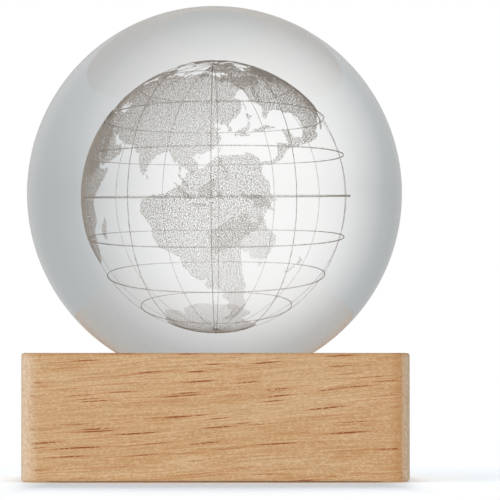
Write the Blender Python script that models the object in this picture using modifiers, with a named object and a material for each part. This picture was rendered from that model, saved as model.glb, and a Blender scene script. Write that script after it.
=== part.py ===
"""Crystal ball lamp: a solid glass ball on a square wooden block that holds an LED light.

Metres, +Z up. The origin is the centre of the face it stands on. The front looks to -Y,
and the inlet and the push button are in the rear wall, at +Y.
"""

import math

import bmesh
import bpy
from mathutils import Matrix, Vector

# Clearances that the pieces share
fit_gap = 0.0001           # between a fixed piece and the face that it lies on
side_gap = 0.0003          # round a piece that drops into a recess
hole_gap = 0.0001          # round a screw, on the radius
slide_gap = 0.00015        # round a sliding piece, on each side
cut_overrun = 0.001        # how far a cutter passes the face that it opens
weld_share = 0.001         # of that overrun, the distance at which points are one

# Crystal ball
ball_diameter = 0.060

# World globe engraved inside the ball, a little off its middle. The marks are cuts in the
# glass, along the grid and over the land. A fine bore from below opens them
globe_diameter = 0.0287
globe_right = 0.00012      # its middle from the ball's: to the right,
globe_ahead = 0.0012       # to the front
globe_below = 0.0004       # and down
globe_lean = math.radians(2.4)     # of its north pole to the front
globe_roll = math.radians(-0.4)
globe_front = 118.7        # degrees east that look to the front
grid_width = 0.0003
land_thickness = 0.0008
marks_bore = 0.0004

# Wooden block, as wide as the ball
block_height = 0.0198
corner_radius = 0.0023     # upright corners
edge_ease = 0.0004         # top and bottom edges
ball_sink = 0.0046         # how far the ball reaches below the top face
seat_bevel_depth = 0.0004  # depth of the bevel that the ball rests on
seat_gap = 0.0001          # between the ball and its bevel
bay_web = 0.0016           # wood between the ball's recess and the switch bay

# Light window, a frosted disc on the shelf under the ball
window_drop = 0.0010       # air between the ball and the window
window_thickness = 0.0020
window_ease = 0.0003

# Light well through the shelf
shelf_thickness = 0.0024
well_side_gap = 0.0010     # round the LEDs, at the bottom of the well
well_flare = 0.0020        # how much wider the well is at the top, on each side

# LED board, a plate with round ends under the shelf
led_board_lap = 0.0010     # of the board under the shelf, beside the well
led_board_thickness = 0.0012
led_screw_web = 0.0020     # from the ball's recess to the screw's middle
led_board_end = 0.0021     # from the screw's middle to the board's end
pocket_side_gap = 0.0010

# LEDs in a ring, and two resistors inside the ring
led_count = 6
led_size = 0.0050
led_gap = 0.0004           # between the inner corners of neighbouring LEDs
led_height = 0.0014
led_corner = 0.0003
lens_diameter = 0.0040
lens_depth = 0.0005
lens_crown = 0.0001
resistor_length = 0.0020
resistor_width = 0.00125
resistor_height = 0.0006
resistor_ease = 0.0001
resistor_spacing = 0.0032

# Power board, under two ledges beside the switch bay
power_board_end = 0.0017       # from the screw's middle to the board's side
power_board_length = 0.0115
power_board_thickness = 0.0012
power_board_corner = 0.0010
power_screw_land = 0.0020      # from the bay's side to the screw's middle
power_screw_setback = 0.0037   # from the board's rear edge
power_board_clearance = 0.0020 # under the board, for its screw heads

# Solder joints where the two leads end
solder_diameter = 0.0018
solder_height = 0.0009
solder_spacing = 0.0036
led_solder_setback = 0.0080    # from the LED board's centre, to the front
power_solder_setback = 0.0013  # from the power board's front edge

# Two insulated leads between the boards. Each point of a lead's route has its share of the
# way, of the bow to the side and of the sag
lead_diameter = 0.0011
lead_bow = 0.0044
lead_clearance = 0.0009        # between the leads' lowest point and the cover
lead_route_shares = {
    "red": [(0.15, 0.34, 0.45), (0.38, 1.00, 0.95), (0.62, 0.92, 1.00), (0.84, 0.30, 0.50)],
    "black": [(0.17, 0.46, 0.50), (0.42, 0.80, 0.90), (0.66, 0.70, 0.92), (0.86, 0.22, 0.45)],
}

# Low-voltage inlet
inlet_offset = -0.0052
inlet_width = 0.00894
inlet_height = 0.00326
inlet_wall = 0.00030
inlet_length = 0.0090
inlet_recess = 0.0004      # behind the rear face
tongue_width = 0.0067
tongue_thickness = 0.0007
tongue_recess = 0.0015     # behind the shell's mouth
plug_depth = 0.0062        # free depth inside the shell

# Push switch and its button
button_offset = 0.0062
button_travel = 0.0008
button_diameter = 0.0046
button_recess = 0.0001     # behind the rear face
button_ease = 0.0005
button_dish = 0.0002
collar_clearance = 0.0004  # between the collar and the power board
collar_thickness = 0.0008
collar_gap = 0.0002        # between the collar and the rear wall
switch_width = 0.0070
switch_length = 0.0054
switch_height = 0.0056
switch_axis_height = 0.0033
switch_ease = 0.0003
boss_width = 0.0042
boss_length = 0.0005
plunger_width = 0.0028
plunger_in_switch = 0.0026
plunger_in_button = 0.0018
finger_dish_diameter = 0.0100
finger_dish_depth = 0.0010

# Bottom cover
cover_margin = 0.0040      # wood round the cover
cover_thickness = 0.0022
cover_corner = 0.0040
cover_ease = 0.0002
cover_screw_inset = 0.0040

# Soft feet, let into the cover
foot_diameter = 0.0070
foot_inset = 0.0046        # from the cover screws, along each side
foot_thickness = 0.0010
foot_stand = 0.0002        # how far the feet stand out below the block
foot_ease = 0.0001

# Wood screws: cover screws with flat heads, board screws with round heads
cover_screw_diameter = 0.0025
cover_screw_length = 0.0080
cover_screw_head = 0.0044
cover_screw_head_height = 0.0012
board_screw_diameter = 0.0017
board_screw_length = 0.0048
board_screw_head = 0.0030
board_screw_head_height = 0.0011
screw_tip_share = 0.22     # of the shank
recess_width_share = 0.14  # of the head's diameter
recess_length_share = 0.60
recess_depth_share = 0.45  # of the head's height
screw_well = 0.0006        # free depth of the pilot hole past the tip

# The globe's grid and its land, in degrees north and east. Each landmass has just the
# points that tell it, placed as the engraved map has them
grid_latitudes = (0, 17.1, 35.0, 54.9, 90)     # also south of the equator
bar_reach = math.radians(22)                   # a bar that spans more has a bend
meridian_count = 12
coasts = {
    "africa": [
        (-6, 35), (11, 36), (32, 32), (43, 14), (51, 15), (40, 0), (40, -12), (34, -19),
        (27, -29), (19, -29), (13, -5), (9, 6), (-8, 8), (-17, 18), (-10, 31)],
    "eurasia": [
        (-9, 38), (-9, 44), (3, 53), (5, 64), (14, 71), (27, 74), (55, 71), (104, 79),
        (160, 73), (190, 69), (162, 61), (157, 53), (155, 60), (138, 57), (129, 38),
        (122, 39), (121, 29), (109, 22), (109, 14), (103, 5), (98, 15), (89, 24), (77, 11),
        (72, 23), (57, 28), (58, 23), (44, 15), (33, 30), (36, 37), (19, 42), (3, 44),
        (-1, 38)],
    "borneo": [(109, 4), (117, 10), (118, 4), (113, -2)],
    "new_guinea": [(132, 3), (141, 1), (151, -7), (138, -5)],
    "australia": [
        (114, -17), (115, -29), (131, -26), (138, -30), (147, -34), (153, -24), (142, -8),
        (139, -13), (136, -9), (130, -10), (122, -14)],
    "north_america": [
        (-168, 69), (-156, 74), (-125, 73), (-82, 72), (-94, 64), (-81, 56), (-78, 66),
        (-56, 54), (-75, 38), (-81, 27), (-84, 31), (-97, 28), (-97, 22), (-85, 15),
        (-76, 11), (-86, 12), (-105, 22), (-124, 43), (-134, 61), (-151, 64), (-165, 59)],
    "greenland": [
        (-44, 64), (-53, 70), (-56, 77), (-70, 80), (-31, 84), (-19, 79), (-24, 73)],
    "south_america": [
        (-77, 11), (-72, 15), (-62, 13), (-51, 5), (-35, -2), (-41, -17), (-58, -31),
        (-68, -49), (-74, -46), (-71, -16), (-81, -2), (-78, 5)],
    "antarctica": [
        (-165, -73), (-135, -69), (-75, -68), (-59, -59), (-45, -73), (10, -64), (50, -60),
        (91, -60), (133, -60), (170, -69)],
}

# Facets
ball_segments = 40
large_segments = 48
medium_segments = 24
small_segments = 14
corner_segments = 5
lead_points = 20

# Widths and radii
block_width = ball_diameter
ball_radius = ball_diameter / 2
globe_radius = globe_diameter / 2
contact_angle = math.acos((ball_radius - ball_sink + seat_bevel_depth / 2) / ball_radius)
contact_radius = ball_radius * math.sin(contact_angle)
seat_bevel = seat_bevel_depth / math.tan(contact_angle)
rim_radius = contact_radius + seat_bevel / 2
recess_radius = contact_radius - seat_bevel / 2
led_ring_radius = led_size / 2 + (led_size * math.cos(math.pi / led_count) + led_gap) / (
    2 * math.sin(math.pi / led_count))
well_bottom_radius = math.hypot(led_ring_radius + led_size / 2, led_size / 2) + well_side_gap
well_top_radius = well_bottom_radius + well_flare
led_board_width = 2 * (well_bottom_radius + led_board_lap)
led_screw_offset = recess_radius + led_screw_web
led_board_length = 2 * (led_screw_offset + led_board_end)
pocket_radius = led_board_length / 2 + pocket_side_gap
bay_half_width = side_gap + max(side_gap + inlet_width / 2 - inlet_offset,
                                button_offset + switch_width / 2)
power_screw_offset = bay_half_width + power_screw_land
power_board_width = 2 * (power_screw_offset + power_board_end)
collar_diameter = 2 * (switch_axis_height - collar_clearance)
cover_width = block_width - 2 * cover_margin
cover_screw_offset = cover_width / 2 - cover_screw_inset
foot_offset = cover_screw_offset - foot_inset
solder_radius = solder_diameter / 2

# Heights, from the table up
block_bottom = foot_stand
block_top = block_bottom + block_height
cover_bottom = block_bottom
cover_top = cover_bottom + cover_thickness
ball_bottom = block_top - ball_sink + seat_gap / math.cos(contact_angle)
ball_centre = ball_bottom + ball_radius
window_top = ball_bottom - window_drop
window_bottom = window_top - window_thickness
shelf_top = window_bottom - fit_gap
shelf_bottom = shelf_top - shelf_thickness
led_board_top = shelf_bottom - fit_gap
led_board_bottom = led_board_top - led_board_thickness
power_board_bottom = cover_top + power_board_clearance
power_board_top = power_board_bottom + power_board_thickness
ledge_height = power_board_top + fit_gap   # also where the pieces on the board stand
inlet_axis_height = ledge_height + inlet_height / 2
inlet_bay_top = ledge_height + inlet_height + side_gap
button_axis_height = ledge_height + switch_axis_height
switch_bay_top = side_gap + max(button_axis_height + collar_diameter / 2,
                                ledge_height + switch_height)

# Places from the ball's recess back to the rear face
rear_face = block_width / 2
bay_front = recess_radius + bay_web
switch_low = bay_front + side_gap
switch_rear = switch_low + switch_length
switch_front_face = switch_rear + boss_length
collar_front = switch_front_face + button_travel + side_gap
collar_rear = collar_front + collar_thickness
bay_rear = collar_rear + collar_gap
power_board_rear = bay_rear - side_gap
power_board_front = power_board_rear - power_board_length
power_solder_row = power_board_front + power_solder_setback
inlet_mouth = rear_face - inlet_recess
inlet_back = inlet_mouth - inlet_length

# Names of the two sides and the four corners, as seen from the front
sides = {"left": -1, "right": 1}
corners = {
    "front_left": (-1, -1),
    "front_right": (1, -1),
    "rear_left": (-1, 1),
    "rear_right": (1, 1),
}


def clear_scene():
    for item in list(bpy.data.objects):
        bpy.data.objects.remove(item, do_unlink=True)


def new_collection(name):
    collection = bpy.data.collections.new(name)
    bpy.context.scene.collection.children.link(collection)
    return collection


clear_scene()
lamp = new_collection("crystal_ball_lamp")
cutters = new_collection("cutters")


def finish(name, colour, roughness, metallic=0.0, transmission=0.0):
    material = bpy.data.materials.new(name)
    material.use_nodes = True
    shader = material.node_tree.nodes["Principled BSDF"]
    shader.inputs["Base Color"].default_value = (*colour, 1.0)
    shader.inputs["Roughness"].default_value = roughness
    shader.inputs["Metallic"].default_value = metallic
    shader.inputs["Transmission Weight"].default_value = transmission
    return material


crystal = finish("clear_crystal", (0.97, 0.98, 0.98), 0.02, transmission=1.0)
beech = finish("beech", (0.62, 0.40, 0.22), 0.55)
frosted = finish("frosted_acrylic", (0.90, 0.90, 0.88), 0.40)
white_mask = finish("white_board", (0.85, 0.85, 0.82), 0.40)
green_mask = finish("green_board", (0.02, 0.22, 0.10), 0.40)
led_plastic = finish("led_housing", (0.88, 0.88, 0.85), 0.45)
phosphor = finish("phosphor", (0.95, 0.72, 0.20), 0.35)
resistor_black = finish("resistor_black", (0.03, 0.03, 0.03), 0.50)
solder = finish("solder", (0.70, 0.70, 0.72), 0.30, metallic=1.0)
insulation = {
    "red": finish("red_insulation", (0.60, 0.03, 0.02), 0.45),
    "black": finish("black_insulation", (0.02, 0.02, 0.02), 0.45),
}
bright_steel = finish("bright_steel", (0.62, 0.62, 0.64), 0.28, metallic=1.0)
black_plastic = finish("black_plastic", (0.025, 0.025, 0.027), 0.45)
cover_plastic = finish("cover_plastic", (0.03, 0.03, 0.03), 0.60)
foot_rubber = finish("foot_rubber", (0.06, 0.06, 0.06), 0.85)


def add_mesh(name, mesh, material=None):
    """Link a mesh as a part, or as a cutter where it has no material."""
    item = bpy.data.objects.new(name, mesh)
    if material is None:
        cutters.objects.link(item)
        item.hide_render = True
        item.display_type = "WIRE"
    else:
        lamp.objects.link(item)
        mesh.materials.clear()
        mesh.materials.append(material)
    return item


def mesh_from(name, bm):
    mesh = bpy.data.meshes.new(name)
    bm.to_mesh(mesh)
    bm.free()
    return mesh


def box(name, low, high, material=None):
    """A box between two corners, with its origin in its middle."""
    low, high = Vector(low), Vector(high)
    bm = bmesh.new()
    bmesh.ops.create_cube(bm, size=1, matrix=Matrix.Diagonal((*(high - low), 1)))
    item = add_mesh(name, mesh_from(name, bm), material)
    item.location = (low + high) / 2
    return item


def disc(name, diameter, low, high, at=(0, 0), segments=medium_segments, material=None):
    """An upright cylinder between two heights, with its origin in its middle."""
    bm = bmesh.new()
    bmesh.ops.create_cone(bm, cap_ends=True, segments=segments, radius1=diameter / 2,
                          radius2=diameter / 2, depth=high - low)
    item = add_mesh(name, mesh_from(name, bm), material)
    item.location = (at[0], at[1], (low + high) / 2)
    shade_round(item.data)
    return item


def turned(name, profile, segments=medium_segments, material=None):
    """A profile of (radius, height) points turned round Z, from the top down its outer side."""
    bm = bmesh.new()
    points = [bm.verts.new((radius, 0, height)) for radius, height in profile]
    for first, second in zip(points, points[1:]):
        bm.edges.new((first, second))
    item = add_mesh(name, mesh_from(name, bm), material)
    screw = item.modifiers.new("turn", "SCREW")
    screw.steps = segments
    screw.render_steps = segments
    screw.use_merge_vertices = True
    screw.merge_threshold = cut_overrun * weld_share
    screw.use_smooth_shade = True
    return item


def rounded_outline(width, length, radius):
    """The corner points of a rectangle with round corners, centred on the origin."""
    points = []
    for corner, (across, along) in enumerate(((1, 1), (-1, 1), (-1, -1), (1, -1))):
        middle = Vector((across * (width / 2 - radius), along * (length / 2 - radius)))
        for step in range(corner_segments + 1):
            angle = math.radians(90) * (corner + step / corner_segments)
            points.append(middle + radius * Vector((math.cos(angle), math.sin(angle))))
    return [point for index, point in enumerate(points)
            if (point - points[index - 1]).length > cut_overrun * weld_share]


def plate(name, width, length, radius, thickness, material=None):
    """A flat plate with round corners, centred on the origin, made a mesh so that it can be cut."""
    outline = bpy.data.curves.new(name, "CURVE")
    outline.dimensions = "2D"
    outline.fill_mode = "BOTH"
    outline.extrude = thickness / 2
    points = rounded_outline(width, length, radius)
    spline = outline.splines.new("POLY")
    spline.points.add(len(points) - 1)
    for point, place in zip(spline.points, points):
        point.co = (place.x, place.y, 0, 1)
    spline.use_cyclic_u = True
    return curve_to_mesh(name, outline, material)


def curve_to_mesh(name, curve, material=None):
    """Turn a curve into a closed mesh with welded caps."""
    guide = bpy.data.objects.new(name + "_guide", curve)
    cutters.objects.link(guide)
    bpy.context.view_layer.update()
    mesh = bpy.data.meshes.new_from_object(guide.evaluated_get(
        bpy.context.evaluated_depsgraph_get()))
    place = guide.matrix_world.copy()
    bpy.data.objects.remove(guide, do_unlink=True)
    bm = bmesh.new()
    bm.from_mesh(mesh)
    bmesh.ops.remove_doubles(bm, verts=bm.verts, dist=cut_overrun * weld_share)
    bmesh.ops.recalc_face_normals(bm, faces=bm.faces)
    bm.to_mesh(mesh)
    bm.free()
    mesh.name = name
    item = add_mesh(name, mesh, material)
    item.matrix_world = place
    return item


def lay(item, low, high, at=(0, 0)):
    """Set a plate level, from one height to another."""
    item.location = (at[0], at[1], (low + high) / 2)
    return item


def face_rear(item, location):
    """Turn a piece made along Z so that its top looks to the rear."""
    item.rotation_euler = (math.radians(-90), 0, 0)
    item.location = location
    return item


def ease(item, width, segments=2, angle=40):
    """Round the edges that are sharper than an angle."""
    bevel = item.modifiers.new("ease", "BEVEL")
    bevel.width = width
    bevel.segments = segments
    bevel.limit_method = "ANGLE"
    bevel.angle_limit = math.radians(angle)
    return item


def cut(item, *tools):
    for tool in tools:
        boolean = item.modifiers.new("cut_" + tool.name, "BOOLEAN")
        boolean.operation = "DIFFERENCE"
        boolean.object = tool
    return item


def keep(item, tool):
    """Keep just what lies inside a tool."""
    boolean = item.modifiers.new("keep_" + tool.name, "BOOLEAN")
    boolean.operation = "INTERSECT"
    boolean.object = tool
    return item


def join(item, *tools):
    for tool in tools:
        boolean = item.modifiers.new("join_" + tool.name, "BOOLEAN")
        boolean.operation = "UNION"
        boolean.object = tool
    return item


def shade_round(mesh):
    mesh.shade_smooth()
    mesh.set_sharp_from_angle(angle=math.radians(35))


def evaluated_mesh(item, name):
    """The mesh of an object with its modifiers applied."""
    bpy.context.view_layer.update()
    found = item.evaluated_get(bpy.context.evaluated_depsgraph_get())
    mesh = bpy.data.meshes.new_from_object(found)
    mesh.name = name
    return mesh


def set_copies(pattern, material, places):
    """Separate copies of a pattern piece, which share one mesh, at named places."""
    shape = evaluated_mesh(pattern, pattern.name)
    shade_round(shape)
    bpy.data.objects.remove(pattern, do_unlink=True)
    for name, place in places.items():
        add_mesh(name, shape, material).matrix_world = place


def wood_screw(name, diameter, length, head, head_height, flat_head):
    """A pattern screw with its driven face at height zero and its tip above, cross recess cut."""
    radius = diameter / 2
    tip = length * screw_tip_share
    shank = [(0, length), (radius / 3, length), (radius, length - tip), (radius, head_height)]
    if flat_head:
        profile = shank + [(head / 2, 0), (0, 0)]
    else:
        profile = shank + [(head / 2, head_height), (head / 2, head_height / 2),
                           (head / 3, 0), (0, 0)]
    screw = turned(name, profile, small_segments)
    depth = head_height * recess_depth_share
    reach = head * recess_length_share / 2
    half = head * recess_width_share / 2
    cut(screw,
        box(name + "_recess_across", (-reach, -half, -cut_overrun), (reach, half, depth)),
        box(name + "_recess_along", (-half, -reach, -cut_overrun), (half, reach, depth)))
    return screw


def on_globe(east, north, radius=globe_radius):
    """The place of a longitude and a latitude round the globe's middle, front to -Y."""
    turn = math.radians(east - globe_front)
    climb = math.radians(north)
    return radius * Vector((math.cos(climb) * math.sin(turn),
                            -math.cos(climb) * math.cos(turn), math.sin(climb)))


def globe_grid():
    """A cage of thin bars along the edges of a sphere whose rows are the grid's parallels.
    Bars that span a wide angle get one bend, so that they follow the sphere."""
    columns, rows = meridian_count, 2 * (len(grid_latitudes) - 1)
    bm = bmesh.new()
    bmesh.ops.create_uvsphere(bm, u_segments=columns, v_segments=rows, radius=1)
    for vert in bm.verts:
        row = round(rows / math.pi * math.asin(max(-1, min(1, vert.co.z))))
        column = round(columns / math.tau * math.atan2(vert.co.y, vert.co.x))
        north = math.copysign(grid_latitudes[abs(row)], row)
        vert.co = on_globe(360 / columns * column, north)
    cage = add_mesh("globe_cage", mesh_from("globe_cage", bm))
    bars = cage.modifiers.new("bars", "WIREFRAME")
    bars.thickness = grid_width
    bm = bmesh.new()
    bm.from_mesh(evaluated_mesh(cage, "globe_grid"))
    bpy.data.objects.remove(cage, do_unlink=True)
    wide = [edge for edge in bm.edges
            if edge.verts[0].co.angle(edge.verts[1].co) > bar_reach]
    made = bmesh.ops.subdivide_edges(bm, edges=wide, cuts=1)["geom_inner"]
    bends = {item for item in made if isinstance(item, bmesh.types.BMVert)}
    for vert in bends:
        ends = [edge.other_vert(vert) for edge in vert.link_edges]
        vert.co.length = max(end.co.length for end in ends if end not in bends)
    bmesh.ops.triangulate(bm, faces=bm.faces)
    return add_mesh("globe_grid", mesh_from("globe_grid", bm))


def globe_sphere(name, radius):
    bm = bmesh.new()
    bmesh.ops.create_icosphere(bm, subdivisions=3, radius=radius)
    return add_mesh(name, mesh_from(name, bm))


def globe_land(name, outline, outer, inner):
    """A thin plate of land: a pyramid over its outline, its tip in the globe's middle."""
    points = [on_globe(east, north, 1) for east, north in outline]
    middle = sum(points, Vector()).normalized()
    bm = bmesh.new()
    base = [bm.verts.new(globe_diameter * point / point.dot(middle)) for point in points]
    tip = bm.verts.new((0, 0, 0))
    bm.faces.new(base)
    for first, last in zip(base, base[1:] + base[:1]):
        bm.faces.new((last, first, tip))
    bmesh.ops.recalc_face_normals(bm, faces=bm.faces)
    plate_of_land = add_mesh("land_" + name, mesh_from("land_" + name, bm))
    return cut(keep(plate_of_land, outer), inner)


def engrave_globe(ball):
    """Cut the grid and the land into the glass, and the bore that opens them."""
    middle = bpy.data.objects.new("globe_middle", None)
    cutters.objects.link(middle)
    middle.location = (globe_right, -globe_ahead, ball_centre - globe_below)
    middle.rotation_euler = (globe_lean, globe_roll, 0)
    outer = globe_sphere("land_outer", globe_radius + land_thickness / 2)
    inner = globe_sphere("land_inner", globe_radius - land_thickness / 2)
    bore = disc("marks_bore", marks_bore, -ball_diameter, -globe_radius,
                segments=meridian_count)
    marks = globe_grid()
    lands = [globe_land(name, outline, outer, inner) for name, outline in coasts.items()]
    for item in (outer, inner, bore, marks, *lands):
        item.parent = middle
    cut(ball, join(marks, bore, *lands))


def make_crystal_ball():
    bm = bmesh.new()
    bmesh.ops.create_uvsphere(bm, u_segments=ball_segments, v_segments=ball_segments // 2,
                              radius=ball_radius)
    ball = add_mesh("crystal_ball", mesh_from("crystal_ball", bm), crystal)
    ball.location = (0, 0, ball_centre)
    engrave_globe(ball)
    shade_round(ball.data)


def make_wooden_block():
    """The block, its upright corners rounded more than its top and bottom edges."""
    bm = bmesh.new()
    bmesh.ops.create_cube(bm, size=1, matrix=Matrix.Diagonal(
        (block_width, block_width, block_height, 1)))
    upright = [edge for edge in bm.edges
               if abs(edge.verts[0].co.z - edge.verts[1].co.z) > block_height / 2]
    bmesh.ops.bevel(bm, geom=upright, offset=corner_radius, segments=corner_segments,
                    profile=0.5, affect="EDGES")
    block = add_mesh("wooden_base", mesh_from("wooden_base", bm), beech)
    block.location = (0, 0, (block_bottom + block_top) / 2)
    ease(block, edge_ease)
    return block


def seat_bore():
    """The ball's recess with its bevelled rim, stepped down to the light well."""
    spread = cut_overrun / math.tan(contact_angle)
    return turned("seat_bore", [
        (0, block_top + cut_overrun),
        (rim_radius + spread, block_top + cut_overrun),
        (recess_radius, block_top - seat_bevel_depth),
        (recess_radius, shelf_top),
        (well_top_radius, shelf_top),
        (well_bottom_radius, shelf_bottom - fit_gap),
        (0, shelf_bottom - fit_gap),
    ], large_segments)


def finger_dish():
    """A shallow round hollow in the rear face, round the button."""
    half = finger_dish_diameter / 2
    radius = (half * half + finger_dish_depth * finger_dish_depth) / (2 * finger_dish_depth)
    reach = math.asin(half / radius)
    steps = corner_segments
    arc = [(radius * math.sin(reach * (1 - step / steps)),
            radius - finger_dish_depth - radius * math.cos(reach * (1 - step / steps)))
           for step in range(steps + 1)]
    profile = [(0, cut_overrun), (half, cut_overrun)] + arc
    dish = turned("finger_dish", profile, medium_segments)
    return face_rear(dish, (button_offset, rear_face, button_axis_height))


def pilot_holes(name, places, diameter, low, tip):
    return [disc(f"{name}_{index}", diameter + 2 * hole_gap, low, tip + screw_well, place,
                 small_segments)
            for index, place in enumerate(places)]


led_screw_places = [(side * led_screw_offset, 0) for side in sides.values()]
power_screw_places = [(side * power_screw_offset, power_board_rear - power_screw_setback)
                      for side in sides.values()]
cover_screw_places = [(across * cover_screw_offset, along * cover_screw_offset)
                      for across, along in corners.values()]
board_screw_reach = board_screw_length - board_screw_head_height


def hollow_block(block):
    """Cut the seat, the pocket, the switch bay, the rear openings and the pilot holes."""
    rebate = lay(plate("cover_rebate", cover_width + 2 * side_gap, cover_width + 2 * side_gap,
                       cover_corner + side_gap, cover_thickness + fit_gap + cut_overrun),
                 block_bottom - cut_overrun, cover_top + fit_gap)
    pocket = disc("pocket", 2 * pocket_radius, cover_top, shelf_bottom,
                  segments=large_segments)
    board_side = power_board_width / 2 + side_gap
    board_bay = box("board_bay", (-board_side, 0, cover_top),
                    (board_side, bay_rear, ledge_height))
    inlet_bay = box("inlet_bay", (-bay_half_width, power_board_front, cover_top),
                    (bay_half_width, bay_rear, inlet_bay_top))
    switch_bay = box("switch_bay", (-bay_half_width, bay_front, cover_top),
                     (bay_half_width, bay_rear, switch_bay_top))
    opening_depth = rear_face - bay_rear + 2 * cut_overrun
    opening_middle = (rear_face + bay_rear) / 2
    inlet_slot = plate("inlet_slot", inlet_width + 2 * side_gap, inlet_height + 2 * side_gap,
                       inlet_height / 2 + side_gap, opening_depth)
    face_rear(inlet_slot, (inlet_offset, opening_middle, inlet_axis_height))
    button_hole = disc("button_hole", button_diameter + 2 * slide_gap,
                       -opening_depth / 2, opening_depth / 2)
    face_rear(button_hole, (button_offset, opening_middle, button_axis_height))
    cut(block, rebate, pocket, board_bay, inlet_bay, switch_bay, seat_bore(), inlet_slot,
        button_hole, finger_dish())
    cut(block, *pilot_holes("cover_pilot", cover_screw_places, cover_screw_diameter,
                            cover_top, cover_bottom + cover_screw_length))
    cut(block, *pilot_holes("led_pilot", led_screw_places, board_screw_diameter,
                            shelf_bottom - cut_overrun,
                            led_board_bottom + board_screw_reach))
    cut(block, *pilot_holes("power_pilot", power_screw_places, board_screw_diameter,
                            ledge_height - cut_overrun,
                            power_board_bottom + board_screw_reach))


def make_light_window():
    window = disc("light_window", 2 * (recess_radius - side_gap), window_bottom, window_top,
                  segments=large_segments, material=frosted)
    ease(window, window_ease, 1)


def make_led_board():
    board = lay(plate("led_board", led_board_length, led_board_width, led_board_width / 2,
                      led_board_thickness, white_mask), led_board_bottom, led_board_top)
    cut(board, *[disc(f"led_board_hole_{index}", board_screw_diameter + 2 * hole_gap,
                      led_board_bottom - cut_overrun, led_board_top + cut_overrun, place,
                      small_segments)
                 for index, place in enumerate(led_screw_places)])

    chip_bottom = led_board_top + fit_gap
    chip_top = chip_bottom + led_height
    half = led_size / 2
    chip = ease(box("led_pattern", (-half, -half, chip_bottom), (half, half, chip_top)),
                led_corner, 1)
    cut(chip, disc("led_cup", lens_diameter + 2 * fit_gap, chip_top - lens_depth - fit_gap,
                   chip_top + cut_overrun, segments=small_segments))
    ring = [Matrix.Rotation(math.tau * index / led_count, 4, "Z")
            @ Matrix.Translation((led_ring_radius, 0, 0)) for index in range(led_count)]
    lift = Matrix.Translation((0, 0, (chip_bottom + chip_top) / 2))
    set_copies(chip, led_plastic,
               {f"led_chip_{index + 1}": place @ lift for index, place in enumerate(ring)})
    lens = turned("lens_pattern", [
        (0, chip_top + lens_crown),
        (lens_diameter / 4, chip_top + lens_crown / 2),
        (lens_diameter / 2, chip_top - lens_depth / 2),
        (lens_diameter / 2, chip_top - lens_depth),
        (0, chip_top - lens_depth),
    ], small_segments)
    set_copies(lens, phosphor,
               {f"led_lens_{index + 1}": place for index, place in enumerate(ring)})

    height = chip_bottom + resistor_height / 2
    set_copies(resistor_pattern(), resistor_black,
               {f"led_resistor_{side}": Matrix.Translation((sign * resistor_spacing / 2, 0,
                                                            height))
                for side, sign in sides.items()})


def resistor_pattern():
    half = Vector((resistor_width, resistor_length, resistor_height)) / 2
    return ease(box("resistor_pattern", -half, half), resistor_ease, 1)


def make_power_board():
    middle = (power_board_front + power_board_rear) / 2
    board = lay(plate("power_board", power_board_width, power_board_length, power_board_corner,
                      power_board_thickness, green_mask),
                power_board_bottom, power_board_top, (0, middle))
    cut(board, *[disc(f"power_board_hole_{index}", board_screw_diameter + 2 * hole_gap,
                      power_board_bottom - cut_overrun, power_board_top + cut_overrun, place,
                      small_segments)
                 for index, place in enumerate(power_screw_places)])
    row = power_board_front + side_gap + resistor_length / 2
    height = ledge_height + resistor_height / 2
    set_copies(resistor_pattern(), resistor_black,
               {f"power_resistor_{side}": Matrix.Translation(
                   (inlet_offset + sign * resistor_spacing / 2, row, height))
                for side, sign in sides.items()})


def make_solder_joints():
    """Low domes: hanging under the LED board, and standing on the power board."""
    steps = corner_segments
    arc = [(solder_radius * math.sin(math.radians(90) * step / steps),
            solder_height * math.cos(math.radians(90) * step / steps))
           for step in range(steps + 1)]
    dome = turned("solder_pattern", arc + [(0, 0)], small_segments)
    upside_down = Matrix.Rotation(math.radians(180), 4, "X")
    places = {}
    for side, sign in sides.items():
        across = sign * solder_spacing / 2
        places["led_board_solder_" + side] = Matrix.Translation(
            (across, -led_solder_setback, led_board_bottom - fit_gap)) @ upside_down
        places["power_board_solder_" + side] = Matrix.Translation(
            (across, power_solder_row, ledge_height))
    set_copies(dome, solder, places)


def through_points(route, count):
    """Points on one smooth curve through the route's own points."""
    ends = [route[0] * 2 - route[1], *route, route[-1] * 2 - route[-2]]
    spans = len(route) - 1
    found = []
    for index in range(count):
        place = spans * index / (count - 1)
        span = min(int(place), spans - 1)
        part = place - span
        before, start, end, after = ends[span:span + 4]
        found.append((start * 2 + (end - before) * part
                      + (before * 2 - start * 5 + end * 4 - after) * part ** 2
                      + (start * 3 - before - end * 3 + after) * part ** 3) / 2)
    return found


def make_leads():
    """Two insulated leads in a slack bow from the LED board's joints to the power board's."""
    radius = lead_diameter / 2
    away = solder_radius + side_gap
    start = Vector((0, away - led_solder_setback, led_board_bottom - fit_gap - side_gap - radius))
    end = Vector((0, power_solder_row - away, ledge_height + fit_gap + radius))
    least = min(start.z, end.z)
    lowest = cover_top + lead_clearance + radius
    for (colour, shares), sign in zip(lead_route_shares.items(), sides.values()):
        name = "led_lead_" + colour
        across = Vector((sign * solder_spacing / 2, 0, 0))
        route = [start + across]
        for way, bow, sag in shares:
            point = start.lerp(end, way) + across
            point.x += sign * bow * lead_bow
            point.z = least + sag * (lowest - least)
            route.append(point)
        route.append(end + across)
        curve = bpy.data.curves.new(name, "CURVE")
        curve.dimensions = "3D"
        curve.bevel_depth = radius
        curve.bevel_resolution = 2
        curve.use_fill_caps = True
        spline = curve.splines.new("POLY")
        points = through_points(route, lead_points)
        spline.points.add(len(points) - 1)
        for point, place in zip(spline.points, points):
            point.co = (*place, 1)
        shade_round(curve_to_mesh(name, curve, insulation[colour]).data)


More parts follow.
